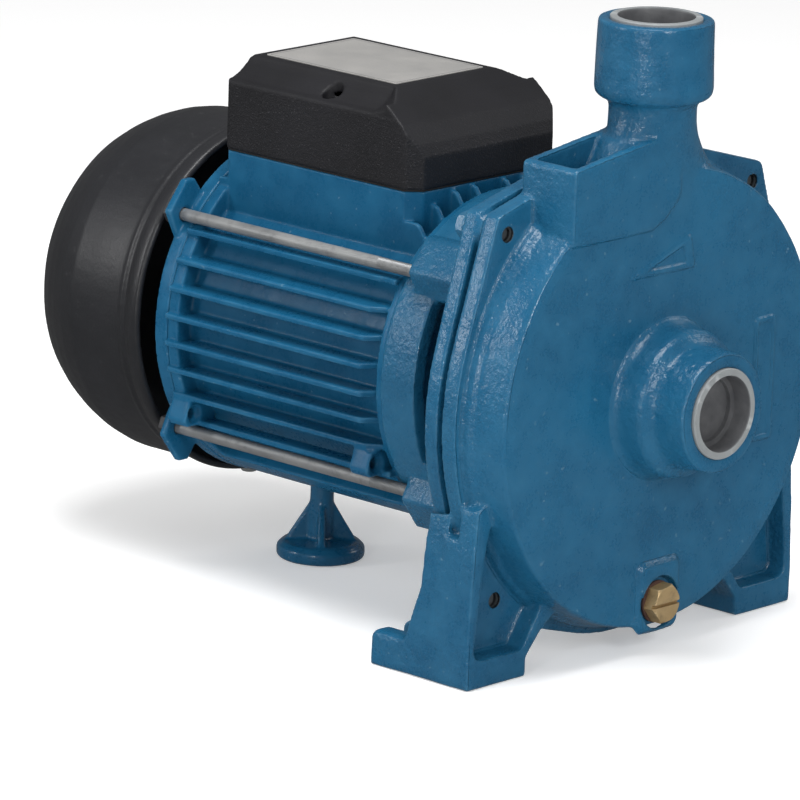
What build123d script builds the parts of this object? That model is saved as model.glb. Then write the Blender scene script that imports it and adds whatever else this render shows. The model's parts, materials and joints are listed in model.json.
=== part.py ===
from build123d import *
import os
from math import acos, atan2, cos, hypot, pi, radians, sin, sqrt

os.makedirs("parts", exist_ok=True)

# Close-coupled centrifugal pump with a fan-cooled motor.  Millimetres.
# X is to the right seen from the suction side, Y runs along the shaft from the
# suction port to the fan, Z is up.  z = 0 is the underside of the feet, y = 0
# is the axis of the outlet and x = 0 is the plane of the shaft.
# "Front" is the suction end (-Y), "rear" is the fan end (+Y).

# ---- driving dimensions: R is a radius, 0 and 1 are the two ends of a span ----
SHAFT_Z = 102.0
OUTLET_Z = 250.0                   # outlet face
SUCTION_Y = -42.0                  # suction face
THREAD_R, THREAD_LENGTH = 15.145, 14.0   # tapping bore of a G1 thread, behind the lead-in
LEAD_R, LEAD_DEPTH = 16.8, 11.0    # lead-in bore, clear of the thread crests
SEAT_R, SEAT_DEPTH = 18.3, 1.4     # shallow seat for the flange of the port plug
PLUG_R, PLUG_PROUD = 17.9, 0.9     # port plug flange, and how far it stands out
DISC_Y, CASE_R = -12.0, 91.0       # casing disc, front face
FLANGE_Y0, FLANGE_Y1, FLANGE_R = 8.0, 15.4, 97.5   # casing flange
PLATE_Y0, PLATE_Y1, PLATE_R = 18.4, 25.2, 96.5     # bracket plate
LUG_X, LUG_Z, LUG_R = 74.5, 77.0, 3.0   # corner lugs of both plates, from the axis
BOLT_X, BOLT_Z = 71.5, 72.0        # casing bolts, from the axis
BOLT_HEAD_Y = PLATE_Y1 + 1.4       # behind a 1.4 washer
REGISTER_R = 84.0                  # register between casing and bracket
DRAIN_Z = 20.6
DRAIN_WASHER_Y0, DRAIN_WASHER_Y1 = -12.7, -11.5
FOOT_X0, FOOT_X1 = 62.0, 95.6      # casing foot, inner and outer side
FOOT_Y0, FOOT_Y1, FOOT_H = -1.0, 50.8, 14.0
SLOT_X, SLOT_Y, SLOT_R = 81.7, 34.0, 5.0
ROD_X, ROD_Z, ROD_R = 56.5, 43.9, 2.5   # tie rods, from the axis
EAR_Y1 = 198.0                     # rear of the tie rod ears
ROD_NUT_Y = EAR_Y1 + 0.7           # behind a 0.7 washer
FRAME_Y0, FRAME_Y1 = 74.0, 190.0   # motor frame
BARREL_R, BORE_R, FIN_R, FIN_HALF = 62.0, 55.0, 71.3, 1.15
CORE_Y0, CORE_Y1 = 100.0, 165.0    # stator and rotor stacks
FAN_Y = 234.0                      # front of the fan hub
COVER_Y0, COVER_Y1, COVER_R = 204.5, 288.0, 71.6
COVER_WALL = 1.9
COVER_SCREW_Y = 209.5
BOX_X, BOX_Y0, BOX_Y1 = 42.3, 83.8, 187.0   # terminal box
BOX_Z0, BOX_Z1, BOX_FLOOR_Z = 146.6, 172.0, 165.6
BOX_CHAMFER, INNER_CHAMFER = 5.6, 4.4
LID_Z0, LID_Z1, LID_WALL, LID_OVERHANG = 172.7, 209.0, 2.4, 0.5
LID_X = BOX_X + LID_OVERHANG
LID_SCREW_X, LID_SCREW_Y = 34.6, 136.0
RATING_X, RATING_Y0, RATING_Y1 = 25.6, 110.6, 182.0   # plate sunk in the lid top
BOARD_X = -19.6                    # terminal board, centre line
TERMINALS_Y = (118.0, 132.0, 146.0)
BOARD_SCREWS_Y, EARTH_Y = (112.0, 152.0), 172.0
CAPACITOR_X, CAPACITOR_Z = 14.6, 183.0
GLAND_Y, GLAND_Z = 150.0, 161.5
PAD_Y = 168.0                      # support foot under the motor

QUADRANTS = [(side, up) for side in (-1, 1) for up in (1, -1)]
CORNERS = [(side * BOLT_X, SHAFT_Z + up * BOLT_Z) for side, up in QUADRANTS]
RODS = [(side * ROD_X, SHAFT_Z + up * ROD_Z) for side, up in QUADRANTS]
# The files have their origin on the floor under the middle of the overall box,
# so along the shaft they are shifted by this much.
Y_MID = (COVER_Y1 + SUCTION_Y - PLUG_PROUD) / 2


# ---- helpers: cylinders, boxes and prisms run between two coordinates ----------
def cyl_x(radius, x0, x1, y, z):
    return Pos((x0 + x1) / 2, y, z) * Rot(0, 90, 0) * Cylinder(radius, abs(x1 - x0))


def cyl_y(radius, y0, y1, x=0.0, z=SHAFT_Z):
    return Pos(x, (y0 + y1) / 2, z) * Rot(90, 0, 0) * Cylinder(radius, abs(y1 - y0))


def cyl_z(radius, z0, z1, x=0.0, y=0.0):
    return Pos(x, y, (z0 + z1) / 2) * Cylinder(radius, abs(z1 - z0))


def box(x0, x1, y0, y1, z0, z1):
    centre = Pos((x0 + x1) / 2, (y0 + y1) / 2, (z0 + z1) / 2)
    return centre * Box(abs(x1 - x0), abs(y1 - y0), abs(z1 - z0))


def polygon(points):
    return make_face(Polyline(*points, close=True))


def prism_x(points, x0, x1):
    # (y, z) outline
    return Pos(x0, 0, 0) * extrude(Plane.YZ * polygon(points), amount=x1 - x0)


def prism_y(shape, y0, y1):
    # (x, z) outline, or a ready face
    face = polygon(shape) if isinstance(shape, list) else shape
    return Pos(0, y1, 0) * extrude(Plane.XZ * face, amount=y1 - y0)


def prism_z(points, z0, z1):
    # (x, y) outline
    return Pos(0, 0, z0) * extrude(Plane.XY * polygon(points), amount=z1 - z0)


def revolved(points):
    # (radius, y) profile about the shaft axis
    return Pos(0, 0, SHAFT_Z) * revolve(polygon(points), Axis.Y, 360)


def revolved_z(points, x=0.0, y=0.0):
    # (radius, z) profile about a vertical axis
    return Pos(x, y, 0) * revolve(Plane.XZ * polygon(points), Axis.Z, 360)


def tube(r0, r1, y0, y1):
    return cyl_y(r1, y0, y1) - cyl_y(r0, y0 - 1, y1 + 1)


def hex_y(across_flats, y0, y1, x=0.0, z=SHAFT_Z, rotation=0.0):
    face = RegularPolygon(across_flats / 2, 6, major_radius=False, rotation=rotation)
    return Pos(x, y1, z) * extrude(Plane.XZ * face, amount=y1 - y0)


def turn(shape, angle):
    # turned about the shaft axis
    return Pos(0, 0, SHAFT_Z) * Rot(0, angle, 0) * Pos(0, 0, -SHAFT_Z) * shape


def ring(shape, count, start=0):
    return [turn(shape, start + 360 * k / count) for k in range(count)]


def mirrored(shape):
    return mirror(shape, Plane.YZ)


def fuse(*shapes):
    out = shapes[0]
    for shape in shapes[1:]:
        out = out + shape
    return out


def add_pair(body, part):
    return body + part + mirrored(part)


def cut_pair(body, part):
    return body - part - mirrored(part)


def ring_2d(sketch, count):
    return fuse(*[Rot(0, 0, 360 / count * k) * sketch for k in range(count)])


def ellipse_loft(rows):
    # rows of (z, half width in x, half depth in y, centre y)
    return loft([Pos(0, centre_y, z) * Ellipse(half_x, half_y)
                 for z, half_x, half_y, centre_y in rows])


def largest(shape):
    return shape.solids().sort_by(SortBy.VOLUME)[-1]


def plate_outline(radius):
    # a circle and four corner lugs joined by common tangents
    reach = hypot(LUG_X, LUG_Z)
    spread = acos((radius - LUG_R) / reach)
    diagonal = atan2(LUG_Z, LUG_X)
    centres = (diagonal, pi - diagonal, pi + diagonal, -diagonal)

    def on_circle(angle):
        return radius * cos(angle), radius * sin(angle)

    edges = []
    for i, centre in enumerate(centres):
        start, end = centre - spread, centre + spread
        lug = [(reach * cos(centre) + LUG_R * cos(t), reach * sin(centre) + LUG_R * sin(t))
               for t in (start, centre, end)]
        edges += [Line(on_circle(start), lug[0]), ThreePointArc(*lug),
                  Line(lug[2], on_circle(end))]
        following = centres[(i + 1) % 4] - spread
        while following < end:
            following += 2 * pi
        edges.append(ThreePointArc(on_circle(end), on_circle((end + following) / 2),
                                   on_circle(following)))
    return Pos(0, SHAFT_Z) * make_face(Wire(edges))


def save(name, shape):
    parts = shape if isinstance(shape, (list, tuple)) else [shape]
    solids = [Pos(0, -Y_MID, 0) * solid for part in parts for solid in part.solids()]
    export_step(Compound(children=solids) if len(solids) > 1 else solids[0],
                "parts/%s.step" % name)


# ---- pump casing -----------------------------------------------------------
def casing_legs():
    outside = [(FOOT_X1, 0), (FOOT_X0, 0), (FOOT_X0, 7.5), (54.8, 16), (44.0, 24.5), (60, 46),
               (78, 66), (86, 74), (92.4, 70), (93.4, 58), (94.6, 40), (FOOT_X1, 18)]
    inside = [(92.0, 15.0), (90.6, 12.4), (88.0, 11.2), (65.2, 11.2), (63.6, 12.6),
              (56.6, 23.0), (50.0, 34.0), (70, 62), (84, 66), (86.4, 58), (88.6, 45.0)]
    leg = prism_y(outside, FOOT_Y0, FLANGE_Y0 + 0.5) - prism_y(inside, FOOT_Y0 - 1, FLANGE_Y0)
    side = prism_y([(FOOT_X1, 0), (FOOT_X0, 0), (FOOT_X0, 7.5), (55.5, 16), (62, 40), (84, 60),
                    (93.4, 58), (94.6, 40), (FOOT_X1, 18)], FLANGE_Y0, FLANGE_Y1)
    foot = box(FOOT_X0, FOOT_X1, FLANGE_Y0, FOOT_Y1, 0, FOOT_H)
    rear_top = foot.edges().filter_by(Axis.X).group_by(Axis.Y)[-1].sort_by(Axis.Z)[-1:]
    foot = fillet(rear_top, 3.5)
    foot = fillet(foot.edges().filter_by(Axis.Z).group_by(Axis.Y)[-1], 2.5)
    foot = foot - cyl_z(SLOT_R, -1, 20, SLOT_X, SLOT_Y)
    foot = foot - box(SLOT_X - SLOT_R, SLOT_X + SLOT_R, SLOT_Y, FOOT_Y1 + 2, -1, 20)
    # the outer wall of the leg runs past the edge of the bracket plate
    gusset = prism_x([(FLANGE_Y1 - 1, 67), (25.2, 65), (25.8, 36.5), (33.0, 13.4), (33.0, 8),
                      (FLANGE_Y1 - 1, 8)], 90.4, FOOT_X1)
    gusset = gusset & prism_y([(90.4, 0), (FOOT_X1, 0), (FOOT_X1, 18), (94.6, 40), (93.2, 54),
                               (91.2, 67), (90.4, 67)], 10, 40)
    legs = fuse(leg, side, foot, gusset)
    return legs + mirrored(legs)


def casing_solid():
    disc = revolved([(0, DISC_Y), (86.5, DISC_Y), (88.4, DISC_Y + 0.6), (89.4, DISC_Y + 0.1),
                     (CASE_R, DISC_Y + 1.6), (92.6, 3.0), (94.0, 4.2), (94.6, FLANGE_Y0 + 0.5),
                     (0, FLANGE_Y0 + 0.5)])
    suction_hub = revolved([(0, SUCTION_Y), (22.8, SUCTION_Y), (23.6, SUCTION_Y + 0.9),
                            (24.2, -33), (24.5, -28.5), (25.6, -26.6), (28.2, -25.2),
                            (29.3, -23.0), (29.8, -18), (30.2, -15), (31.2, -12.9),
                            (32.6, -11.6), (0, -11.6)])
    flange = prism_y(plate_outline(FLANGE_R), FLANGE_Y0, FLANGE_Y1)
    pocket = prism_y([(-58.0, 170.6), (-12.0, 170.6), (-4.0, 174.5), (3.0, 182.5), (3.0, 207.6),
                      (-9.4, 206.6), (-56.6, 200.4), (-58.0, 199.2)], DISC_Y - 1.4, 14.4)
    neck = ellipse_loft([(170, 50, 11.6, -0.4), (178, 43, 11.9, -0.4), (188, 33.4, 12.4, -0.4),
                         (197, 26.0, 13.4, -0.2), (205, 20.6, 15.0, 0), (212, 17.8, 16.4, 0),
                         (219, 17.2, 17.0, 0)])
    outlet_boss = revolved_z([(0, 217), (17.2, 217), (18.4, 218.6), (21.0, 219.6),
                              (22.6, 221.0), (23.1, 223.4), (22.4, OUTLET_Z - 0.8),
                              (21.8, OUTLET_Z), (0, OUTLET_Z)])
    drain_pad = loft([
        Plane.XZ.offset(-DISC_Y - 0.2) * Pos(0, 23.0) * RectangleRounded(26, 30, 4),
        Plane.XZ.offset(14.6) * Pos(0, 23.2) * RectangleRounded(19.6, 25.6, 3)])
    return fuse(disc, suction_hub, flange, casing_legs(), pocket, neck, outlet_boss, drain_pad)


def add_raised_marks(body):
    # on the front of the disc: a turning-direction arrow and a blank panel
    arrow = [(-22.2, 153.0), (10.8, 165.2), (13.6, 152.8)]
    mid_x, mid_z = sum(p[0] for p in arrow) / 3, sum(p[1] for p in arrow) / 3
    arrow_inside = [(mid_x + (x - mid_x) * 0.72, mid_z + (z - mid_z) * 0.66) for x, z in arrow]
    body = body + (prism_y(arrow, DISC_Y - 1.0, DISC_Y + 1)
                   - prism_y(arrow_inside, DISC_Y - 2, DISC_Y + 2))
    panel_at = Pos(58.6, 100.5)
    panel = prism_y(panel_at * RectangleRounded(11.2, 49, 1.2), DISC_Y - 1.0, DISC_Y + 1)
    panel = panel - prism_y(panel_at * RectangleRounded(8.8, 46.6, 0.6), DISC_Y - 2,
                            DISC_Y - 0.2)
    return body + panel


def cut_passages(body):
    spiral = []
    for i in range(0, 361, 15):
        angle = radians(90 - 28 - i)
        radius = 69.5 + 13.0 * i / 360
        spiral.append((radius * cos(angle), SHAFT_Z + radius * sin(angle)))
    outline = make_face(Wire([Spline(*spiral), Line(spiral[-1], spiral[0])]))
    chamber = prism_y(outline, DISC_Y + 4, 11.5) + cyl_y(REGISTER_R, 11.0, 30)
    throat = ellipse_loft([(166, 33, 8.0, 1.2), (180, 27, 8.4, 1.2), (192, 20, 9.2, 0.8),
                           (202, 15, 10.6, 0.2), (210, 13.2, 12.2, 0), (219, 13, 13, 0)])
    # outlet port, from the throat up
    thread_end = LEAD_DEPTH + THREAD_LENGTH
    body = body - chamber - throat - cyl_z(13.4, 217, OUTLET_Z - thread_end + 1)
    body = body - cyl_z(THREAD_R, OUTLET_Z - thread_end, OUTLET_Z + 1)
    body = body - cyl_z(LEAD_R, OUTLET_Z - LEAD_DEPTH, OUTLET_Z + 1)
    body = body - cyl_z(SEAT_R, OUTLET_Z - SEAT_DEPTH, OUTLET_Z + 1)
    # suction port, from the chamber forward
    body = body - cyl_y(17.6, -16, DISC_Y + 4.5) - cyl_y(14.0, SUCTION_Y - 1, -10)
    for radius, depth in ((THREAD_R, thread_end), (LEAD_R, LEAD_DEPTH), (SEAT_R, SEAT_DEPTH)):
        body = body - cyl_y(radius, SUCTION_Y - 1, SUCTION_Y + depth)
    return body


def pump_body():
    body = cut_passages(add_raised_marks(casing_solid()))
    # the open-topped pocket stops short of the neck, so the water passage keeps its full wall
    pocket = prism_y([(-54.0, 150), (-10.5, 150), (-10.5, 210), (-54.0, 210)],
                     DISC_Y + 2.5, 10.6)
    kept_neck = ellipse_loft([(170, 38, 30, 0), (219, 15.0, 13.0, 0)])
    body = body - (pocket - cyl_y(89.0, -20, 20) - kept_neck)
    # drain: recess, thread and a riser into the chamber
    body = body - cyl_y(10.6, -20, DRAIN_WASHER_Y1, 0, DRAIN_Z)
    body = body - cyl_y(4.9, -12, -2.0, 0, DRAIN_Z) - cyl_z(3.0, DRAIN_Z, 36, 0, -4.5)
    for x, z in CORNERS:
        body = body - cyl_y(3.0, -5, 20, x, z)
    return largest(body)


# ---- port plugs: (radius, depth), depth 0 at the port face and positive inwards ----
PLUG_PROFILE = [(15.1, -PLUG_PROUD), (17.5, -PLUG_PROUD), (PLUG_R, -0.5), (PLUG_R, 1.35),
                (16.7, 1.35), (16.7, 10.0), (16.1, 10.6), (0, 10.6), (0, 9.2), (12.6, 9.2),
                (12.8, 7.4), (14.6, 7.0), (14.8, 1.0)]


def suction_port_plug():
    return revolved([(radius, SUCTION_Y + depth) for radius, depth in PLUG_PROFILE])


def outlet_port_plug():
    return revolved_z([(radius, OUTLET_Z - depth) for radius, depth in PLUG_PROFILE])


def drain_plug():
    rounding = revolved([(0, -18.2), (6.9, -18.2), (8.2, -17.2), (9, DRAIN_WASHER_Y0),
                         (0, DRAIN_WASHER_Y0)])
    head = hex_y(14.0, -18.2, DRAIN_WASHER_Y0, 0, DRAIN_Z, 8)
    plug = head & Pos(0, 0, DRAIN_Z - SHAFT_Z) * rounding
    plug = plug + cyl_y(4.86, -13, -3.2, 0, DRAIN_Z)
    return plug - box(-9, 9, -18.6, -16.6, DRAIN_Z - 0.7, DRAIN_Z + 0.7)


def drain_washer():
    washer = cyl_y(8.4, DRAIN_WASHER_Y0, DRAIN_WASHER_Y1, 0, DRAIN_Z)
    return washer - cyl_y(4.95, -14, -10, 0, DRAIN_Z)


# ---- bracket between pump and motor ----------------------------------------
def bracket_plate():
    plate = prism_y(plate_outline(PLATE_R), PLATE_Y0, PLATE_Y1)
    plate = plate + cyl_y(REGISTER_R - 0.1, 11.0, PLATE_Y0 + 1)
    plate = plate - (cyl_y(84.5, 12.3, 15.3) - cyl_y(80.9, 11.5, 16.5))   # O-ring groove
    plate = plate - tube(31, 77, 18.5, 40)
    for x, z in CORNERS:
        plate = plate + cyl_y(7.0, FLANGE_Y1, PLATE_Y0 + 0.5, x, z)
    return plate


def bracket_shell():
    # bell with one window on each side
    shell = revolved([(76.5, 20.6), (88, PLATE_Y1 - 0.2), (86.5, 27.5), (79, 36), (71, 47),
                      (69.2, 54), (69.2, FRAME_Y0), (62.5, FRAME_Y0), (62.5, 55), (64.6, 48),
                      (72.5, 36), (76.5, 29.5)])
    return cut_pair(shell, prism_y([(30, 74), (120, 70), (120, 141), (30, 136)], 30, 56.0))


def bracket_rod_lugs():
    outline = [(40, 34), (58, 34.5), (64, 45.5), (54.5, 58), (50, 58.5), (40, 53)]
    pairs = []
    for up in (1, -1):
        lug = prism_y([(x, SHAFT_Z + up * z) for x, z in outline], PLATE_Y1 - 1, 66.5)
        pairs.append(lug + mirrored(lug))
    return fuse(*pairs) - cyl_y(62.4, 27.5, 58.9)


def motor_bracket():
    web = revolved([(22, 60), (40, 59), (64, 59), (64, 65.5), (40, 64.5), (22, 66)])
    bearing_holder = tube(20.0, 25.4, 52.5, 73.0) + tube(9.6, 24, 52.5, 57.0)
    spigot = tube(50.6, 54.95, 66, 77.2)
    spigot = spigot + revolved([(50.6, 60), (64, 60), (64, FRAME_Y0), (50.6, FRAME_Y0)])
    seal_hub = tube(8.6, 24.5, 18.5, 37.0)
    seal_hub = seal_hub + revolved([(24, 18), (31.5, 18), (31.5, 19.5), (24.4, 30)])
    rib = box(-1.9, 1.9, 18.3, 26.5, SHAFT_Z + 24, SHAFT_Z + 80)
    ribs = fuse(*[turn(rib, angle) for angle in (0, 45, 135, 180, 225, 315)])
    bracket = fuse(bracket_plate(), bracket_shell(), web, bearing_holder, spigot, seal_hub,
                   ribs, bracket_rod_lugs())
    # stepped bore for seal, shaft and front bearing, then the circlip groove
    for radius, y0, y1 in ((17.0, 5, 24.0), (13.5, 23, 31.5), (8.6, 20, 40), (20.0, 57.0, 80)):
        bracket = bracket - cyl_y(radius, y0, y1)
    bracket = bracket - tube(19, 21.25, 69.2, 70.5) - cyl_y(9.6, 50, 60)
    for x, z in CORNERS:
        bracket = bracket - cyl_y(3.4, 10, 40, x, z)
        # clear ground for each bolt head behind the plate
        bracket = bracket - cyl_y(8.2, PLATE_Y1, 60, x, z)
    for x, z in RODS:
        bracket = bracket - cyl_y(ROD_R + 0.05, 50.0, 80, x, z)
    return largest(bracket)


def casing_o_ring():
    return Pos(0, 13.8, SHAFT_Z) * Rot(90, 0, 0) * Torus(82.42, 1.48)


def casing_bolts():
    rounding = revolved([(0, BOLT_HEAD_Y), (5.9, BOLT_HEAD_Y), (5.9, 29.9), (5.2, 30.6),
                         (0, 30.6)])
    bolts = []
    for i, (x, z) in enumerate(CORNERS):
        head = hex_y(10.0, BOLT_HEAD_Y, 30.6, x, z, 10 + 17 * i)
        head = head & Pos(x, 0, z - SHAFT_Z) * rounding
        bolts.append(head + cyl_y(2.97, 11.4, 27, x, z))
    return bolts


def casing_bolt_washers():
    return [cyl_y(6.2, PLATE_Y1, BOLT_HEAD_Y, x, z) - cyl_y(3.2, 20, 30, x, z)
            for x, z in CORNERS]


# ---- impeller --------------------------------------------------------------
def impeller_blade(start_angle, steps=8, r0=17.5, r1=63.6):
    # swept back through 95 degrees, thinner at both ends
    inner, outer = [], []
    for j in range(steps + 1):
        along = j / steps
        radius = r0 + (r1 - r0) * along
        angle = radians(start_angle + 95 * along)
        half = (1.5 if 0 < j < steps else 0.9) / radius
        for side, points in ((-1, inner), (1, outer)):
            points.append((radius * cos(angle + side * half),
                           SHAFT_Z + radius * sin(angle + side * half)))
    return prism_y(inner + outer[::-1], -3.4, 6.0)


def impeller():
    rear_shroud = revolved([(6, -2), (11, -2), (11.6, 2), (16, 5), (64, 5.4), (64, 7.6),
                            (18, 8.2), (11.4, 9), (11.4, 11), (6, 11)])
    front_shroud = revolved([(14.2, -13), (16.9, -13), (16.9, -6.2), (20, -5.2), (64, -4.2),
                             (64, -2), (22, -2.8), (14.2, -4.5)])
    blades = fuse(*[impeller_blade(60 * k) for k in range(6)])
    keyway = box(-2, 2, -1.2, 11.5, SHAFT_Z + 2, SHAFT_Z + 7.6)
    return largest(rear_shroud + front_shroud + blades - keyway)


def impeller_key():
    return box(-1.98, 1.98, -1.0, 10.0, SHAFT_Z + 3.6, SHAFT_Z + 7.5)


def impeller_washer():
    return tube(4.1, 8.5, -3.5, -2.0)


def impeller_nut():
    nut = hex_y(13.0, -10.0, -3.5) & revolved([(0, -10), (6.4, -10), (7.5, -9.2), (7.5, -3.5),
                                              (0, -3.5)])
    return nut - cyl_y(4.02, -20, 0)


def shaft():
    body = revolved([(0, -11.5), (3.4, -11.5), (4.0, -10.9), (4.0, -2), (6, -2), (6, 11),
                     (7, 11), (7, 45), (8.5, 46), (8.5, 69.2), (10, 69.2), (10, 184), (9, 184),
                     (9, 191), (7.5, 191), (7.5, 203), (6, 204), (6, FAN_Y + 22.2),
                     (5.4, FAN_Y + 22.2), (5.4, FAN_Y + 23.4), (6, FAN_Y + 23.4),
                     (6, FAN_Y + 25), (5.4, FAN_Y + 26), (0, FAN_Y + 26)])
    keyway = box(-2, 2, -1.2, 10.2, SHAFT_Z + 3.5, SHAFT_Z + 8)
    fan_flat = box(-8, 8, FAN_Y, FAN_Y + 27, SHAFT_Z + 4.8, SHAFT_Z + 8)
    return body - keyway - fan_flat


# ---- mechanical seal -------------------------------------------------------
def seal_spring():
    path = Pos(0, 11.95, SHAFT_Z) * Rot(-90, 0, 0) * Helix(pitch=1.9, height=3.8, radius=10.0)
    wire_face = Plane(path @ 0, z_dir=path % 0) * Circle(0.75)
    return sweep(wire_face, path=path, is_frenet=True)


def seal_rotating_ring():
    return revolved([(7.04, 16.7), (12.6, 16.7), (12.6, 20.5), (11.2, 20.5), (11.2, 23.2),
                     (10.4, 23.98), (8.2, 23.98), (8.2, 22), (7.04, 21)])


def seal_seat():
    return tube(7.9, 11.4, 24.0, 30.6)


def seal_seat_cup():
    return revolved([(11.42, 24.4), (13.48, 24.4), (13.48, 31.48), (8.9, 31.48), (8.9, 30.62),
                     (11.42, 30.62)])


def water_slinger():
    return revolved([(7.03, 39), (9.5, 39), (10.2, 41), (14.6, 43.6), (14.2, 44.4),
                     (9.5, 44.2), (7.03, 44.4)])


# ---- rolling bearings ------------------------------------------------------
def bearing_pieces(bore_r, outer_r, y0, y1, pitch_r, ball_r, count=8):
    mid = (y0 + y1) / 2
    groove = Pos(0, mid, SHAFT_Z) * Rot(90, 0, 0) * Torus(pitch_r, ball_r + 0.05)
    outer_lip, inner_lip = pitch_r + ball_r * 0.62, pitch_r - ball_r * 0.62
    outer = revolved([(outer_lip, y0 + 0.2), (outer_r - 0.4, y0), (outer_r, y0 + 0.4),
                      (outer_r, y1 - 0.4), (outer_r - 0.4, y1), (outer_lip, y1 - 0.2)])
    inner = revolved([(bore_r, y0 + 0.4), (bore_r + 0.4, y0), (inner_lip, y0 + 0.2),
                      (inner_lip, y1 - 0.2), (bore_r + 0.4, y1), (bore_r, y1 - 0.4)])
    balls = ring(Pos(pitch_r, mid, SHAFT_Z) * Sphere(ball_r), count)
    cage = tube(pitch_r - ball_r * 0.3, pitch_r + ball_r * 0.3,
                mid - ball_r - 1.1, mid + ball_r + 1.1)
    for hole in ring(cyl_x(ball_r + 0.08, pitch_r - 4, pitch_r + 4, mid, SHAFT_Z), count):
        cage = cage - hole
    return {"outer_race": outer - groove, "inner_race": inner - groove, "balls": balls,
            "cage": largest(cage)}


def bearing_circlip():
    clip = tube(18.4, 21.2, 69.25, 70.4)
    clip = clip - box(-3.4, 3.4, 69, 71, SHAFT_Z - 24, SHAFT_Z - 15)
    for side in (1, -1):
        end = box(side * 3.4, side * 7.4, 69, 71, SHAFT_Z - 20, SHAFT_Z - 14)
        clip = clip + tube(17.4, 19.5, 69.25, 70.4).intersect(end)
    return largest(clip)


def preload_washer():
    return revolved([(12.6, 202.35), (16.9, 202.9), (16.9, 203.4), (12.6, 202.85)])


# ---- stator and rotor ------------------------------------------------------
def stator_core():
    slot = Pos(40.0, 0) * (Rectangle(13.0, 4.2) + Pos(-7.2, 0) * Rectangle(2.6, 1.6))
    section = Circle(BORE_R - 0.02) - Circle(32.0)
    return prism_y(Pos(0, SHAFT_Z) * (section - ring_2d(slot, 24)), CORE_Y0, CORE_Y1)


def stator_windings():
    in_slots = ring_2d(Pos(40.2, 0) * Rectangle(12.2, 3.9), 24)
    windings = prism_y(Pos(0, SHAFT_Z) * in_slots, CORE_Y0 - 1.5, CORE_Y1 + 1.5)
    # front and rear end windings
    windings = windings + revolved([(34.5, 85), (37, 82.5), (47.5, 82.5), (50.5, 85.5),
                                    (50.5, 97), (47, 98.6), (35.5, 98.6), (34.5, 97)])
    windings = windings + revolved([(34.5, 168), (35.5, 166.4), (47, 166.4), (50.5, 168),
                                    (50.5, 178.5), (47.5, 181.5), (37, 181.5), (34.5, 179)])
    return largest(windings)


def rotor_bars():
    return ring_2d(Pos(27.4, 0) * Circle(1.9), 20)


def rotor_core():
    section = Circle(31.6) - Circle(10.02) - offset(rotor_bars(), 0.02)
    return prism_y(Pos(0, SHAFT_Z) * section, CORE_Y0, CORE_Y1)


def rotor_cage():
    cage = prism_y(Pos(0, SHAFT_Z) * rotor_bars(), CORE_Y0 - 1, CORE_Y1 + 1)
    for y0, y1 in ((93, CORE_Y0), (CORE_Y1, 172)):
        cage = cage + revolved([(23.5, y0), (30.8, y0), (30.8, y1), (23.5, y1)])
    # fins on both end rings
    for k in range(10):
        for y0, y1 in ((88.5, 93.2), (171.8, 176.5)):
            cage = cage + turn(box(-1.1, 1.1, y0, y1, SHAFT_Z + 24, SHAFT_Z + 30), 36 * k)
    return cage


# ---- motor frame -----------------------------------------------------------
def add_fins(frame):
    for height in (38.5, 27.5, 16.5, 5.5, -5.5, -16.5, -27.5, -38.5):
        tip = sqrt(FIN_R ** 2 - height ** 2)
        fin = prism_z([(52, 76), (60, 76), (tip - 1.0, 82.6), (tip, 84), (tip, FRAME_Y1),
                       (52, FRAME_Y1)], SHAFT_Z + height - FIN_HALF, SHAFT_Z + height + FIN_HALF)
        frame = add_pair(frame, fin)
    for x in (9.0, 20.0, 31.0, 41.0):
        tip = min(SHAFT_Z + sqrt(FIN_R ** 2 - x ** 2), BOX_Z1 - 0.8)
        fin = prism_x([(76, SHAFT_Z + 40), (76, tip - 8), (81.0, tip - 0.8), (83, tip),
                       (FRAME_Y1, tip), (FRAME_Y1, SHAFT_Z + 40)], x - FIN_HALF, x + FIN_HALF)
        frame = add_pair(frame, fin)
    return frame


def add_belly_and_ears(frame):
    def at(radius, degree):
        return radius * cos(radians(degree)), SHAFT_Z + radius * sin(radians(degree))

    belly = [at(40, -126)] + [at(69.4, degree) for degree in range(-126, -53, 6)] + [at(40, -54)]
    frame = frame + prism_y(belly, 78, FRAME_Y1)
    for y0, y1 in ((80.0, 90.0), (180.0, FRAME_Y1)):
        ear = prism_y([(50, 62.6), (66.4, 62.6), (68.4, 65.0), (66.0, 72.4), (55, 72.4)], y0, y1)
        ear = ear - cyl_y(2.1, y0 - 1, y1 + 1, 62.8, 67.6)
        ear = ear - cyl_y(3.6, y0 - 1, y0 + 1.4, 62.8, 67.6)
        frame = add_pair(frame, ear)
    return frame


def box_outline(inset, chamfer):
    # (x, y) outline of the terminal box, with larger chamfers at the front corners
    half, y0, y1 = BOX_X - inset, BOX_Y0 + inset, BOX_Y1 - inset
    rear = chamfer * 0.4
    return [(-half + chamfer, y0), (half - chamfer, y0), (half, y0 + chamfer),
            (half, y1 - rear), (half - rear, y1), (-half + rear, y1), (-half, y1 - rear),
            (-half, y0 + chamfer)]


def add_terminal_box(frame):
    frame = frame + prism_z(box_outline(0, BOX_CHAMFER), BOX_Z0, BOX_Z1)
    frame = frame - prism_z(box_outline(3.2, INNER_CHAMFER), BOX_FLOOR_Z, BOX_Z1 + 1)
    for side in (-1, 1):
        frame = frame + cyl_z(4.4, 160, BOX_Z1, side * LID_SCREW_X, LID_SCREW_Y)
        frame = frame - cyl_z(1.75, 160, 180, side * LID_SCREW_X, LID_SCREW_Y)
    return frame


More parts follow.
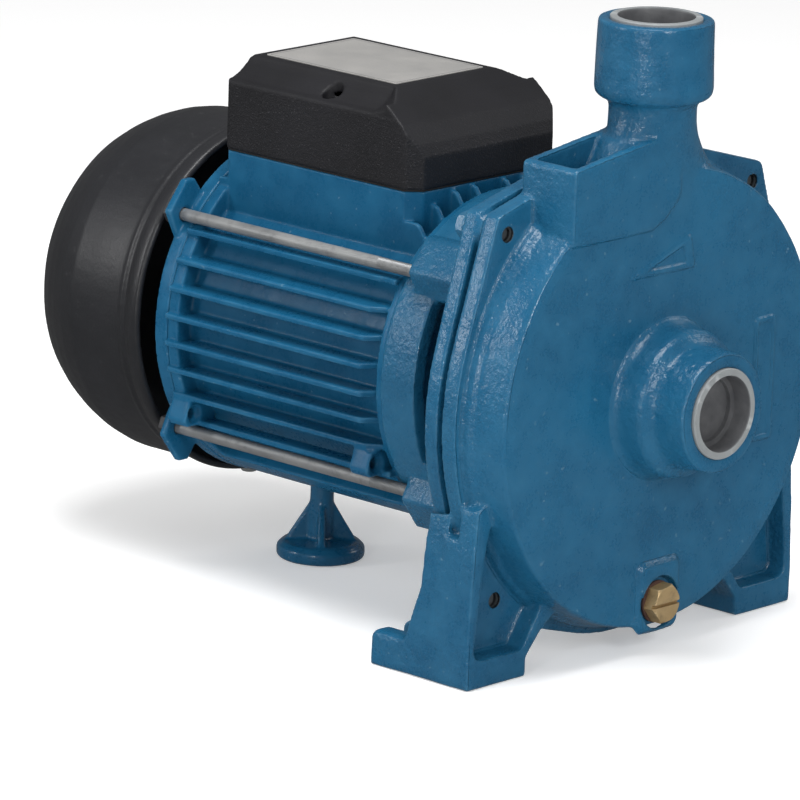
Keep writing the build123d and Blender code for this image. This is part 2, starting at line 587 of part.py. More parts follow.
def motor_frame():
    frame = cyl_y(BARREL_R, FRAME_Y0, FRAME_Y1)
    frame = frame + cyl_y(67.6, FRAME_Y0, 77.6) + cyl_y(69.4, 184.5, FRAME_Y1)
    frame = add_terminal_box(add_belly_and_ears(add_fins(frame)))
    frame = frame + cyl_z(8.0, 31.0, 45.0, 0, PAD_Y)
    frame = frame - cyl_y(BORE_R, FRAME_Y0 - 1, FRAME_Y1 + 1) - cyl_y(57.0, 186.0, FRAME_Y1 + 1)
    # foot screw hole, and a hole from the bore up into the terminal box
    frame = frame - cyl_z(2.6, 28, 44, 0, PAD_Y) - cyl_z(5.0, 150, 170, 0, 97.0)
    # the rods run clear of the fins
    for x, z in RODS:
        frame = frame - cyl_y(3.3, FRAME_Y0 - 1, FRAME_Y1 + 1, x, z)
    # room for the gland locknut, then the gland holes
    frame = frame - (box(20, 39.1, 137, 163, 151.0, 168) - cyl_y(60.0, 100, 200))
    frame = frame - cyl_x(7.0, 30, 60, GLAND_Y, GLAND_Z) - cyl_x(10.0, BOX_X, 60, GLAND_Y, GLAND_Z)
    # tapped holes for the terminal board and the earth screw
    for y in (*BOARD_SCREWS_Y, EARTH_Y):
        frame = frame - cyl_z(1.5, 162.0, 168, BOARD_X, y)
    return largest(frame)


def rear_end_shield():
    shield = fuse(tube(58, 69.6, FRAME_Y1, 197.0) + tube(20, 60, 192.5, 197.0),
                  tube(53.0, 56.95, 186.4, 193), tube(17.5, 22.4, 189.0, 207.0)
                  + tube(8.2, 22.4, 203.5, 207.0))
    rib = box(-1.6, 1.6, 196.5, 204.5, SHAFT_Z + 20, SHAFT_Z + 58)
    shield = fuse(shield, *ring(rib, 6, 30))
    outline = [(48, 34), (60, 35.5), (65, 46), (56, 58), (51, 58), (44, 48)]
    for (side, up), (rod_x, rod_z) in zip(QUADRANTS, RODS):
        shield = shield + prism_y([(side * x, SHAFT_Z + up * z) for x, z in outline],
                                  FRAME_Y1 + 4.3, EAR_Y1)
        shield = shield - cyl_y(2.7, FRAME_Y1 - 4, 210, rod_x, rod_z)
    # top and bottom lugs for the cover screws
    for up in (1, -1):
        shield = shield + box(-6, 6, 196, 213.5, SHAFT_Z + up * 62, SHAFT_Z + up * 68.6)
        shield = shield - cyl_z(1.7, SHAFT_Z + up * 60, SHAFT_Z + up * 80, 0, COVER_SCREW_Y)
    return largest(shield)


# ---- tie rods --------------------------------------------------------------
def tie_rods(thread_y=65.0, pitch=0.8, turns=28):
    grooves = []
    for k in range(turns):
        y = thread_y + pitch * k
        grooves += [(ROD_R, y), (ROD_R - 0.32, y + pitch / 2)]
    grooves.append((ROD_R, thread_y + pitch * turns))
    profile = [(0, 50.4), (2.0, 50.4), (ROD_R, 50.9)] + grooves + [
        (ROD_R, 201.8), (2.0, 202.3), (0, 202.3)]
    return [Pos(x, 0, z - SHAFT_Z) * revolved(profile) for x, z in RODS]


def tie_rod_nuts():
    return [hex_y(8.0, ROD_NUT_Y, 202.2, x, z, 11 * i) - cyl_y(ROD_R + 0.02, 190, 210, x, z)
            for i, (x, z) in enumerate(RODS)]


def tie_rod_washers():
    return [cyl_y(5.0, EAR_Y1, ROD_NUT_Y, x, z) - cyl_y(2.65, 190, 203, x, z) for x, z in RODS]


# ---- fan, clip and cover ---------------------------------------------------
def cooling_fan():
    hub = revolved([(6.03, FAN_Y), (12, FAN_Y), (13, FAN_Y), (53, FAN_Y + 2), (58.5, FAN_Y + 2),
                    (58.5, FAN_Y + 3.8), (53, FAN_Y + 3.8), (14, FAN_Y + 3), (12, FAN_Y + 20),
                    (6.03, FAN_Y + 21.6)])
    # (distance behind the hub front, radius)
    outline = [(3, 12), (3, 58.5), (14, 58.5), (21, 47), (21, 16), (16, 11)]
    blade = prism_x([(FAN_Y + y, SHAFT_Z + radius) for y, radius in outline], -0.9, 0.9)
    flat = cyl_y(6.2, FAN_Y, FAN_Y + 21.6) & box(-8, 8, FAN_Y - 1, FAN_Y + 22,
                                                 SHAFT_Z + 4.85, SHAFT_Z + 8)
    return fuse(hub, *ring(blade, 9), flat)


def fan_clip():
    clip = tube(5.45, 9.0, FAN_Y + 22.3, FAN_Y + 23.3)
    return clip - box(-2.6, 2.6, FAN_Y + 22, FAN_Y + 24, SHAFT_Z - 10, SHAFT_Z)


def inset_profile(points, wall):
    # the same (radius, y) profile moved inwards by the wall thickness
    out = []
    for i, (radius, y) in enumerate(points):
        r0, y0 = points[max(i - 1, 0)]
        r1, y1 = points[min(i + 1, len(points) - 1)]
        length = hypot(r1 - r0, y1 - y0)
        out.append((radius - wall * (y1 - y0) / length, y + wall * (r1 - r0) / length))
    return out


def fan_cover():
    # (radius, y) rounded closed end
    dome = [(COVER_R, 231.0), (COVER_R + 0.1, 243.0), (70.3, 250.0), (68.0, 256.5),
            (65.2, 262.5), (61.2, 269.0), (55.2, 275.2), (48.4, 280.2), (41.0, 284.0),
            (33.0, 286.8), (26.0, COVER_Y1)]
    # (radius, distance behind the open edge) of the rolled rim
    rim = [(70.9, 0), (72.2, 0.5), (72.5, 2.0), (72.4, 4.2), (71.9, 6.2), (71.2, 7.8),
           (71.1, 9.0), (71.7, 9.8), (71.7, 10.6), (71.2, 11.4)]
    outside = [(radius, COVER_Y0 + y) for radius, y in rim] + dome
    inside = [(69.4, COVER_Y0)] + inset_profile(dome, COVER_WALL)
    cover = revolved(outside + [(0, COVER_Y1), (0, COVER_Y1 - COVER_WALL)] + inside[::-1])
    slots = []
    # rings of round-ended radial slots: inner radius, outer radius, count, start angle
    for r0, r1, count, start in ((15, 30, 12, 0), (34, 51, 24, 7.5)):
        z0, z1 = SHAFT_Z + r0 + 1.4, SHAFT_Z + r1 - 1.4
        slot = box(-1.4, 1.4, 268, 292, z0, z1)
        slot = slot + cyl_y(1.4, 268, 292, 0, z0) + cyl_y(1.4, 268, 292, 0, z1)
        slots += ring(slot, count, start)
    cover = cover - Compound(children=slots)
    for up in (1, -1):
        cover = cover - cyl_z(2.1, SHAFT_Z + up * 60, SHAFT_Z + up * 90, 0, COVER_SCREW_Y)
    return largest(cover)


def cut_cross(screw, x, y, half, z0, z1):
    screw = screw - box(x - half, x + half, y - 0.4, y + 0.4, z0, z1)
    return screw - box(x - 0.4, x + 0.4, y - half, y + half, z0, z1)


def fan_cover_screws():
    screw = revolved_z([(0, 165), (1.6, 165), (1.68, 166), (1.68, 174.6), (3.9, 174.6),
                        (3.9, 175.5), (3.0, 176.7), (0, 176.9)], 0, COVER_SCREW_Y)
    screw = cut_cross(screw, 0, COVER_SCREW_Y, 2.4, 175.8, 180)
    return [screw, turn(screw, 180)]


# ---- terminal box lid, gasket and plate ------------------------------------
def lid_gasket():
    gasket = prism_z(box_outline(-0.1, BOX_CHAMFER), BOX_Z1, LID_Z0)
    gasket = gasket - prism_z(box_outline(3.4, INNER_CHAMFER), 170, 175)
    gasket = gasket + fuse(*[cyl_z(4.7, BOX_Z1, LID_Z0, side * LID_SCREW_X, LID_SCREW_Y)
                             for side in (-1, 1)])
    for side in (-1, 1):
        gasket = gasket - cyl_z(2.1, 170, 175, side * LID_SCREW_X, LID_SCREW_Y)
    return gasket


def lid_block(inset, z0):
    # long section along the box, cut to the plan with its chamfered corners
    y0, y1 = BOX_Y0 - LID_OVERHANG + inset, BOX_Y1 + LID_OVERHANG - inset
    half, top = LID_X - inset, LID_Z1 - inset
    section = [(y0, z0), (y0, 185.6 - inset * 0.2), (y0 + 2.4, 190.8 - inset),
               (y0 + 7.4, 197.6 - inset), (y0 + 14.4, 203.4 - inset), (y0 + 22.6, top - 0.6),
               (y0 + 24.2, top), (y1 - 2.4, top), (y1 - 0.6, top - 1.4), (y1, top - 4), (y1, z0)]
    front, rear = BOX_CHAMFER, 2.2
    plan = [(-half + front, y0), (half - front, y0), (half, y0 + front), (half, y1 - rear),
            (half - rear, y1), (-half + rear, y1), (-half, y1 - rear), (-half, y0 + front)]
    return prism_x(section, -half, half) & prism_z(plan, z0 - 1, 215)


def lid_cove(inset):
    # concave run along one long side, ending short of the front slope
    def section(rows):
        # rows of (distance in from the lid side, z)
        curve = [(LID_X - depth - inset, z - inset) for depth, z in rows]
        return ([(LID_X + 2, rows[0][1] - inset)] + curve
                + [(LID_X - rows[-1][0] - 0.4 - inset, 216), (LID_X + 2, 216)])

    full = section([(0.6, 200.4), (4.0, 200.9), (8.0, 202.6), (11.4, 205.2), (13.6, 208.2)])
    small = section([(0.6, 202.6), (2.0, 203.0), (4.0, 204.2), (5.6, 206.0), (6.6, 208.6)])
    run = prism_y(full, 108.0 - inset, 200)
    nose = loft([Plane.XZ.offset(-108.0 + inset) * polygon(full),
                 Plane.XZ.offset(-99.8 + inset) * polygon(small)])
    return run + nose


def terminal_box_lid():
    outer = cut_pair(lid_block(0, LID_Z0), lid_cove(0))
    inner = cut_pair(lid_block(LID_WALL, LID_Z0 - 1), lid_cove(LID_WALL))
    lid = outer - inner
    # sunk screw pockets in both coves, with their inner posts
    for side in (-1, 1):
        x = side * LID_SCREW_X
        lid = lid + (cyl_z(5.6, LID_Z0, 200.2, x, LID_SCREW_Y) & outer)
        lid = lid - cyl_z(4.1, 180.0, 215, x, LID_SCREW_Y) - cyl_z(2.1, 170, 215, x, LID_SCREW_Y)
    lid = lid - box(-RATING_X - 0.1, RATING_X + 0.1, RATING_Y0 - 0.1, RATING_Y1 + 0.1,
                    LID_Z1 - 0.5, 212)
    return largest(lid)


def blank_rating_plate():
    plate = box(-RATING_X, RATING_X, RATING_Y0, RATING_Y1, LID_Z1 - 0.5, LID_Z1 + 0.1)
    return fillet(plate.edges().filter_by(Axis.Z), 1.5)


def lid_screws():
    profile = [(0, 166.5), (1.2, 166.5), (1.72, 167.4), (1.72, 180.0), (3.7, 180.0),
               (3.7, 181.6), (2.8, 182.8), (0, 183.0)]
    return [cut_cross(revolved_z(profile, x, LID_SCREW_Y), x, LID_SCREW_Y, 2.3, 182, 185)
            for x in (-LID_SCREW_X, LID_SCREW_X)]


# ---- terminal box contents -------------------------------------------------
CAPACITOR_AT = Pos(CAPACITOR_X, 0, CAPACITOR_Z - SHAFT_Z)


def capacitor():
    can = CAPACITOR_AT * revolved([(0, 104), (13.2, 104), (14.4, 105.2), (14.4, 163.4),
                                   (13.8, 164.2), (12.8, 164.2), (12.8, 163.6), (0, 163.6)])
    for x0, x1 in ((10.4, 12.2), (17.0, 18.8)):
        can = can + box(x0, x1, 163, 169.6, 180.4, 185.6)
    return can


def capacitor_strap():
    strap = CAPACITOR_AT * tube(14.45, 15.25, 112, 122)
    strap = strap + box(13.0, 16.2, 112, 122, BOX_FLOOR_Z, 168.2)
    return strap - CAPACITOR_AT * cyl_y(14.45, 120, 150)


def terminal_board():
    board = box(BOARD_X - 9, BOARD_X + 9, 106, 158, BOX_FLOOR_Z, 169.6)
    for y in TERMINALS_Y:
        board = board + box(BOARD_X - 8, BOARD_X + 8, y - 5.2, y + 5.2, 169.4, 173.6)
        board = board - cyl_z(2.0, 166, 175, BOARD_X, y)
    for y in BOARD_SCREWS_Y:
        board = board - cyl_z(1.7, 165, 175, BOARD_X, y) - cyl_z(3.4, 169.6, 180, BOARD_X, y)
    return largest(board)


def slotted_screw(profile, y, half, z0, z1):
    # on the board's centre line, with a straight slot across the head
    return revolved_z(profile, BOARD_X, y) - box(-24, -15, y - half, y + half, z0, z1)


def terminal_screws():
    profile = [(0, 167), (1.95, 167), (1.95, 173.6), (3.8, 173.6), (3.8, 175.4), (3.0, 176.2),
               (0, 176.2)]
    return [slotted_screw(profile, y, 0.5, 175.2, 178) for y in TERMINALS_Y]


def terminal_board_screws():
    profile = [(0, 162.4), (1.48, 162.4), (1.48, 169.6), (3.1, 169.6), (3.1, 171.2),
               (2.4, 171.9), (0, 171.9)]
    return [slotted_screw(profile, y, 0.4, 171.2, 173) for y in BOARD_SCREWS_Y]


def earth_screw():
    profile = [(0, 162.4), (1.48, 162.4), (1.48, 165.6), (5.0, 165.6), (5.0, 166.6),
               (3.6, 166.6), (3.6, 168.4), (2.8, 169.2), (0, 169.2)]
    return slotted_screw(profile, EARTH_Y, 0.4, 168.2, 170)


# ---- cable gland on the +X side of the terminal box ------------------------
def gland_revolved(points):
    # (radius, x) profile about the gland axis
    face = polygon([(x, radius) for radius, x in points])
    return Pos(0, GLAND_Y, GLAND_Z) * revolve(Plane.XY * face, Axis.X, 360)


def gland_hex(across_flats, x0, x1):
    face = RegularPolygon(across_flats / 2, 6, major_radius=False, rotation=30)
    return Pos(x0, GLAND_Y, GLAND_Z) * extrude(Plane.YZ * face, amount=x1 - x0)


def cable_gland_body():
    body = gland_revolved([(4.6, 36.0), (6.9, 36.0), (6.9, BOX_X), (9.8, BOX_X), (9.8, 48),
                           (7.6, 48), (7.6, 56), (4.6, 56)])
    body = body & (gland_hex(18.4, BOX_X, 48.0) + cyl_x(8.0, 30, BOX_X + 0.5, GLAND_Y, GLAND_Z)
                   + cyl_x(8.0, 47, 60, GLAND_Y, GLAND_Z))
    return largest(body)


def cable_gland_locknut():
    return gland_hex(17.0, 36.4, 39.05) - cyl_x(6.95, 30, 60, GLAND_Y, GLAND_Z)


def cable_gland_grommet():
    return gland_revolved([(2.6, 50), (4.5, 50), (4.5, 57.6), (2.6, 57.6)])


def cable_gland_cap():
    cap = gland_revolved([(7.65, 49.0), (9.8, 49.0), (9.8, 56.0), (8.0, 61.0), (4.2, 61.0),
                          (4.2, 58.0), (7.65, 56.6)])
    cone = gland_revolved([(0, 55.9), (9.8, 55.9), (8.0, 62.0), (0, 62.0)])
    return largest(cap & (gland_hex(18.4, 49, 56.2) + cone))


# ---- support foot under the motor ------------------------------------------
def support_foot():
    foot = revolved_z([(0, 0), (17.0, 0), (18.0, 0.8), (18.0, 4.6), (15.6, 6.8), (5.0, 7.6),
                       (4.7, 31.0), (0, 31.0)], 0, PAD_Y)
    rib = prism_x([(0, 5), (14.2, 5), (14.2, 7.4), (4.6, 23), (0, 23)], -1.4, 1.4)
    for k in range(4):
        foot = foot + Pos(0, PAD_Y, 0) * Rot(0, 0, 45 + 90 * k) * rib
    return foot - cyl_z(2.7, -1, 40, 0, PAD_Y) - cyl_z(5.0, -1, 3.6, 0, PAD_Y)


def foot_screw():
    screw = revolved_z([(0, 0.4), (4.4, 0.4), (4.4, 3.6), (2.55, 3.6), (2.55, 42), (2.0, 43),
                        (0, 43)], 0, PAD_Y)
    socket = extrude(RegularPolygon(2.0, 6, major_radius=False), amount=2.4)
    return screw - Pos(0, PAD_Y, 0) * socket


# ---- write one file per piece, named after its function --------------------
for piece in (
        pump_body, suction_port_plug, outlet_port_plug, drain_plug, drain_washer,
        motor_bracket, casing_o_ring, casing_bolts, casing_bolt_washers,
        impeller, impeller_key, impeller_washer, impeller_nut, shaft,
        seal_spring, seal_rotating_ring, seal_seat, seal_seat_cup, water_slinger,
        bearing_circlip, preload_washer, stator_core, stator_windings, rotor_core, rotor_cage,
        motor_frame, rear_end_shield, tie_rods, tie_rod_nuts, tie_rod_washers,
        cooling_fan, fan_clip, fan_cover, fan_cover_screws,
        lid_gasket, terminal_box_lid, blank_rating_plate, lid_screws,
        capacitor, capacitor_strap, terminal_board, terminal_screws, terminal_board_screws,
        earth_screw, cable_gland_body, cable_gland_locknut, cable_gland_grommet,
        cable_gland_cap, support_foot, foot_screw):
    save(piece.__name__, piece())

BEARINGS = {
    "front_bearing": dict(bore_r=8.5, outer_r=20.0, y0=57.0, y1=69.0, pitch_r=14.25, ball_r=3.3),
    "rear_bearing": dict(bore_r=7.5, outer_r=17.5, y0=191.2, y1=202.2, pitch_r=12.5, ball_r=2.9),
}
for bearing, sizes in BEARINGS.items():
    for part_name, part_shape in bearing_pieces(**sizes).items():
        save(bearing + "_" + part_name, part_shape)
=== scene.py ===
"""Looks, stage and camera for a blue motor pump.

Metres, +Z up. The shaft runs along Y at height SHAFT_Z with the suction port facing -Y and the
motor towards +Y. The outlet points up, its axis at x = 0, y = -OUTLET_SHIFT.
"""
import json
import math
import bpy
import numpy as np
from mathutils import Matrix, Vector

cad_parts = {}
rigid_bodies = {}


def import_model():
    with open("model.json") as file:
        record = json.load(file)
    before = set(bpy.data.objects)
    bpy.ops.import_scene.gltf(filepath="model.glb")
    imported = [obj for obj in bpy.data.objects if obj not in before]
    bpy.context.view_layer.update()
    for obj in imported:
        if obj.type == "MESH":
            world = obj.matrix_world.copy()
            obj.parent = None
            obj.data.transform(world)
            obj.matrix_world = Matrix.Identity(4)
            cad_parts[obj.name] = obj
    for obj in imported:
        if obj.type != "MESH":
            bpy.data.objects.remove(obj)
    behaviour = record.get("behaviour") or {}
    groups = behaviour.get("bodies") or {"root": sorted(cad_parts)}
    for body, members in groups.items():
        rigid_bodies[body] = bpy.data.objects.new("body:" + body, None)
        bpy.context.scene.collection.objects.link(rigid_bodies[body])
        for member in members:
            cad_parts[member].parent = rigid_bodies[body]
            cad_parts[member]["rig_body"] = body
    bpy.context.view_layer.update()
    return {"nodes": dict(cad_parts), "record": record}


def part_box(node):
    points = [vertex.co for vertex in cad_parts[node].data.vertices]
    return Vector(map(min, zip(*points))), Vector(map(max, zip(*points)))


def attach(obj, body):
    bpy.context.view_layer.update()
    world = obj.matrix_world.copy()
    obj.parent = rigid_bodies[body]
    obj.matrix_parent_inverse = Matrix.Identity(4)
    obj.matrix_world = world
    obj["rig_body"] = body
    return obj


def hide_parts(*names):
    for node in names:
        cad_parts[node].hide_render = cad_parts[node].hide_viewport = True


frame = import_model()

NODES = frame["nodes"]
SLOT = {part["node"]: part["material_slot"] for part in frame["record"]["subparts"]}
SCENE = bpy.context.scene

OUTLET_SHIFT = 0.12255    # distance along Y from the outlet axis to the origin
SHAFT_Z = 0.102

# Threaded holes in the corners of the pump's -Y face
HOLE_X = 0.0715           # from the shaft axis, to either side
HOLE_Z = 0.072            # from the shaft axis, up and down
HOLE_RADIUS = (0.00305, 0.0033)             # fully bare metal, fully painted
HOLE_Y_MAX = 0.0158 - OUTLET_SHIFT

PLUG_CUP_RADIUS = (0.01495, 0.01520)        # fully cup, fully flange
LID_GRAIN_Z = (0.1985, 0.2005)              # the lid's grain fades over this height

# Raised marks on the disc of the pump body; y is measured from the outlet axis
MARKS_Y = -0.0125
MARKS_HALF_DEPTH = 0.0018
MARKS_RADII = (0.036, 0.083)
# Thin-walled drain recess in the same face
DRAIN_Z = 0.0206
DRAIN_RADIUS = 0.0135
DRAIN_Y_MAX = -0.006


# ---------------------------------------------------------------- shader tools
# Noise grades: (detail, roughness)
PLAIN = (1, 0.4)
EVEN = (2, 0.5)
CRISP = (2, 0.6)
CLOUDY = (3, 0.6)
STREAKY = (4, 0.65)
BLOTCHY = (4, 0.7)


def linear(colour):
    """8-bit sRGB triple to linear RGBA."""
    channels = []
    for value in colour:
        value = value / 255.0
        channels.append(value / 12.92 if value <= 0.04045 else ((value + 0.055) / 1.055) ** 2.4)
    return (*channels, 1.0)


def shifted(colour, red, green, blue):
    return tuple(min(255, value + step) for value, step in zip(colour, (red, green, blue)))


def feed(tree, node, key, value):
    """Link a socket or set a value; a tuple of three is an 8-bit sRGB colour."""
    socket = node.inputs[key]
    if isinstance(value, bpy.types.NodeSocket):
        tree.links.new(value, socket)
    elif isinstance(value, tuple) and len(value) == 3:
        socket.default_value = linear(value)
    else:
        socket.default_value = value


def add_node(tree, kind, inputs=None, **settings):
    node = tree.nodes.new(kind)
    for key, value in settings.items():
        setattr(node, key, value)
    for key, value in (inputs or {}).items():
        feed(tree, node, key, value)
    return node


def math_node(tree, operation, *values):
    inputs = dict(enumerate(values))
    return add_node(tree, "ShaderNodeMath", inputs, operation=operation).outputs[0]


class Shader:
    """A Principled material, built up by methods that each add a node and return its socket."""

    def __init__(self, name):
        self.material = bpy.data.materials.new(name)
        self.material.use_nodes = True
        self.tree = self.material.node_tree
        self.tree.nodes.clear()
        output = self.add("ShaderNodeOutputMaterial")
        self.principled = self.add("ShaderNodeBsdfPrincipled")
        self.tree.links.new(self.principled.outputs[0], output.inputs[0])
        self.coords = self.add("ShaderNodeTexCoord")

    def add(self, kind, inputs=None, **settings):
        return add_node(self.tree, kind, inputs, **settings)

    def noise(self, scale, grade=EVEN, seed=0.0, vector=None):
        detail, roughness = grade
        return self.add("ShaderNodeTexNoise", {
            "Vector": vector or self.coords.outputs["Object"], "W": seed, "Scale": scale,
            "Detail": detail, "Roughness": roughness}, noise_dimensions="4D").outputs["Fac"]

    def bands_along_y(self, scale, distortion=0.0, detail=0.0):
        return self.add("ShaderNodeTexWave", {
            "Vector": self.coords.outputs["Object"], "Scale": scale, "Distortion": distortion,
            "Detail": detail}, wave_type="BANDS", bands_direction="Y").outputs["Fac"]

    def drawn_along_y(self, squeeze):
        """Coordinates that draw a texture out along Y; a smaller squeeze draws it further."""
        return self.add("ShaderNodeMapping", {
            "Vector": self.coords.outputs["Object"],
            "Scale": Vector((1.0, squeeze, 1.0))}).outputs[0]

    def remap(self, value, span=(0.3, 0.7), to=(0, 1), smooth=False):
        return self.add("ShaderNodeMapRange", {
            "Value": value, "From Min": span[0], "From Max": span[1],
            "To Min": to[0], "To Max": to[1]}, clamp=True,
            interpolation_type="SMOOTHSTEP" if smooth else "LINEAR").outputs["Result"]

    def math(self, operation, *values):
        return math_node(self.tree, operation, *values)

    def plus(self, first, second):
        return self.math("ADD", first, second)

    def minus(self, first, second):
        return self.math("SUBTRACT", first, second)

    def times(self, first, second):
        return self.math("MULTIPLY", first, second)

    def distance_from(self, value, centre):
        return self.math("ABSOLUTE", self.minus(value, centre))

    def length(self, first, second):
        return self.math("SQRT", self.plus(self.times(first, first), self.times(second, second)))

    def mix(self, factor, first, second):
        return self.add("ShaderNodeMix", {0: factor, 6: first, 7: second}, data_type="RGBA",
                        clamp_factor=True).outputs[2]

    def cover(self, colour, mask, tone, amount):
        return self.mix(self.times(mask, amount), colour, tone)

    def axes(self, space):
        return self.add("ShaderNodeSeparateXYZ", {0: self.coords.outputs[space]}).outputs

    def pointiness(self):
        return self.add("ShaderNodeNewGeometry").outputs["Pointiness"]

    def worn_edges(self, colour, tone, span=(0.53, 0.64), amount=0.4):
        return self.mix(self.remap(self.pointiness(), span=span, to=(0, amount)), colour, tone)

    def bump(self, height, distance, strength, under=None):
        inputs = {"Strength": strength, "Distance": distance, "Height": height}
        if under is not None:
            inputs["Normal"] = under
        return self.add("ShaderNodeBump", inputs).outputs[0]

    def moulded_normal(self, scale, depth):
        """Fine moulding grain over a slow waviness."""
        normal = self.bump(self.noise(scale=scale), distance=depth, strength=0.8)
        return self.bump(self.noise(scale=70, seed=2), distance=0.0003, strength=0.4,
                         under=normal)

    def finish(self, colour, roughness, normal=None, metallic=0.0, specular=0.5,
               coat=0.0, coat_roughness=0.1, coat_normal=None):
        inputs = {"Base Color": colour, "Roughness": roughness, "Metallic": metallic,
                  "Specular IOR Level": specular, "IOR": 1.5}
        if coat:
            inputs.update({"Coat Weight": coat, "Coat Roughness": coat_roughness})
        if coat_normal is not None:
            inputs["Coat Normal"] = coat_normal
        if normal is not None:
            inputs["Normal"] = normal
        for key, value in inputs.items():
            feed(self.tree, self.principled, key, value)
        return self.material


# ---------------------------------------------------------------- materials
def paint(name, sand_cast, seed, base=(27, 90, 124), across=0.7, specular=0.30, coat=0.30):
    """Semi-gloss enamel on a sand casting.

    sand_cast scales the casting's roughness, and across is how much of it is left on faces
    that lie across the shaft.
    """
    mat = Shader(name)
    broad = mat.noise(scale=14, grade=CLOUDY, seed=seed)
    mid = mat.noise(scale=90, grade=CLOUDY, seed=seed + 3)
    fine = mat.noise(scale=700, seed=seed + 5)
    colour = mat.mix(mat.remap(broad, span=(0.35, 0.65)), shifted(base, -5, -12, -14), base)
    colour = mat.mix(mat.remap(mid, span=(0.42, 0.72), to=(0, 0.55)), colour,
                     shifted(base, 10, 9, 8))

    # Paler proud edges, partly thin paint and partly painted highlight, and painted shade in the
    # creases
    pointiness = mat.pointiness()
    edge = mat.times(mat.remap(pointiness, span=(0.515, 0.60)),
                     mat.remap(mid, span=(0.35, 0.6), to=(0.25, 1.0)))
    colour = mat.cover(colour, edge, (96, 150, 178), amount=0.38)
    # Painted shade: a dark blue laid into creases and inside corners, where shade falls
    painted_crease_shade = mat.remap(pointiness, span=(0.40, 0.485), to=(1, 0))
    colour = mat.cover(colour, painted_crease_shade, (8, 34, 52), amount=0.55)

    # A few pale blue-grey specks, painted highlight on the rough skin
    painted_glint_speck = mat.remap(mat.noise(scale=420, grade=PLAIN, seed=seed + 9), span=(0.735, 0.76))
    colour = mat.cover(colour, painted_glint_speck, (120, 150, 165), amount=0.30)
    roughness = mat.plus(mat.remap(mid, to=(0.24, 0.34)), mat.remap(fine, to=(-0.03, 0.04)))

    # The corner screw holes are unpainted and threaded; their near-black thread bands are
    # painted shade deep in the bore
    x, y, z = mat.axes("Object")
    from_hole_x = mat.minus(mat.math("ABSOLUTE", x), HOLE_X)
    from_hole_z = mat.minus(mat.distance_from(z, SHAFT_Z), HOLE_Z)
    hole_radius = mat.length(from_hole_x, from_hole_z)
    front = mat.math("LESS_THAN", y, HOLE_Y_MAX)
    hole = mat.times(mat.remap(hole_radius, span=HOLE_RADIUS, to=(1, 0), smooth=True), front)
    thread_and_shade_bands = mat.bands_along_y(scale=160)
    colour = mat.mix(hole, colour, mat.mix(thread_and_shade_bands, (8, 10, 12), (74, 78, 80)))

    # Rougher skin on the sides than on the top or the faces across the shaft
    _, normal_y, normal_z = mat.axes("Normal")
    face = mat.remap(mat.math("ABSOLUTE", normal_y), span=(0.80, 0.97), to=(1.0, across),
                     smooth=True)
    top = mat.remap(normal_z, span=(0.6, 0.95), to=(1.0, 0.6), smooth=True)
    patch = mat.remap(mat.noise(scale=28, seed=seed + 1), span=(0.36, 0.62), to=(0.35, 1.0),
                      smooth=True)
    amount = mat.times(mat.times(mat.times(face, top), patch), sand_cast)
    sand = mat.times(mat.noise(scale=400, grade=CLOUDY, seed=seed + 11), amount)
    lump_share, lump_least = 0.7, 0.3    # some lumpiness stays on the smoothest faces
    lump = mat.times(mat.noise(scale=120, seed=seed + 13),
                     mat.math("MULTIPLY_ADD", amount, lump_share, lump_least))
    normal = mat.bump(lump, distance=0.0009, strength=0.55)
    normal = mat.bump(sand, distance=0.0009, strength=0.95, under=normal)
    orange_peel = mat.noise(scale=1100, grade=PLAIN, seed=seed + 17)
    normal = mat.bump(orange_peel, distance=0.00006, strength=0.8, under=normal)
    return mat.finish(colour, roughness, normal, specular=specular,
                      coat=coat, coat_roughness=0.06, coat_normal=normal)


def black_satin(name):
    mat = Shader(name)
    broad = mat.noise(scale=18, grade=CLOUDY)
    dust = mat.noise(scale=260, grade=CLOUDY)
    colour = mat.mix(mat.remap(broad), (27, 28, 31), (35, 36, 40))
    colour = mat.mix(mat.remap(dust, span=(0.62, 0.78), to=(0, 0.30)), colour, (84, 84, 86))
    colour = mat.worn_edges(colour, (110, 110, 112), span=(0.54, 0.66), amount=0.25)
    roughness = mat.plus(mat.remap(broad, to=(0.38, 0.47)), mat.remap(dust, to=(-0.03, 0.05)))
    normal = mat.bump(mat.noise(scale=60), distance=0.0006, strength=0.35)
    normal = mat.bump(mat.noise(scale=900), distance=0.00010, strength=0.6, under=normal)
    return mat.finish(colour, roughness, normal, specular=0.45,
                      coat=0.12, coat_roughness=0.25, coat_normal=normal)


def lid_plastic(name):
    """Black plastic, grained on its sides and smoother towards its top."""
    mat = Shader(name)
    normal_z = mat.axes("Normal")[2]
    z = mat.axes("Object")[2]
    grain = mat.noise(scale=1500, grade=CRISP)
    coarse = mat.noise(scale=760, seed=4)
    band = mat.remap(z, span=LID_GRAIN_Z, to=(1.0, 0.35), smooth=True)
    grained = mat.times(band, mat.remap(normal_z, span=(0.25, 0.8), to=(1.0, 0.3), smooth=True))
    mottle = mat.remap(mat.noise(scale=22, grade=CLOUDY))
    colour = mat.mix(mottle, (20, 20, 23), (29, 29, 33))
    # Painted glints: pale specks on the grain peaks of the sides
    painted_grain_glint = mat.times(mat.remap(grain, span=(0.60, 0.72)), grained)
    colour = mat.cover(colour, painted_grain_glint, (96, 96, 100), amount=0.34)
    colour = mat.worn_edges(colour, (120, 120, 124), span=(0.53, 0.62), amount=0.22)
    roughness_offset = 0.0
    roughness = mat.plus(mat.remap(grain, to=(0.46, 0.62)), roughness_offset)
    normal = mat.bump(mat.times(coarse, grained), distance=0.00028, strength=0.5)
    normal = mat.bump(mat.times(grain, grained), distance=0.00030, strength=0.85, under=normal)
    normal = mat.bump(mat.noise(scale=1500, grade=PLAIN, seed=7), distance=0.00005,
                      strength=0.5, under=normal)
    return mat.finish(colour, roughness, normal, specular=0.32)


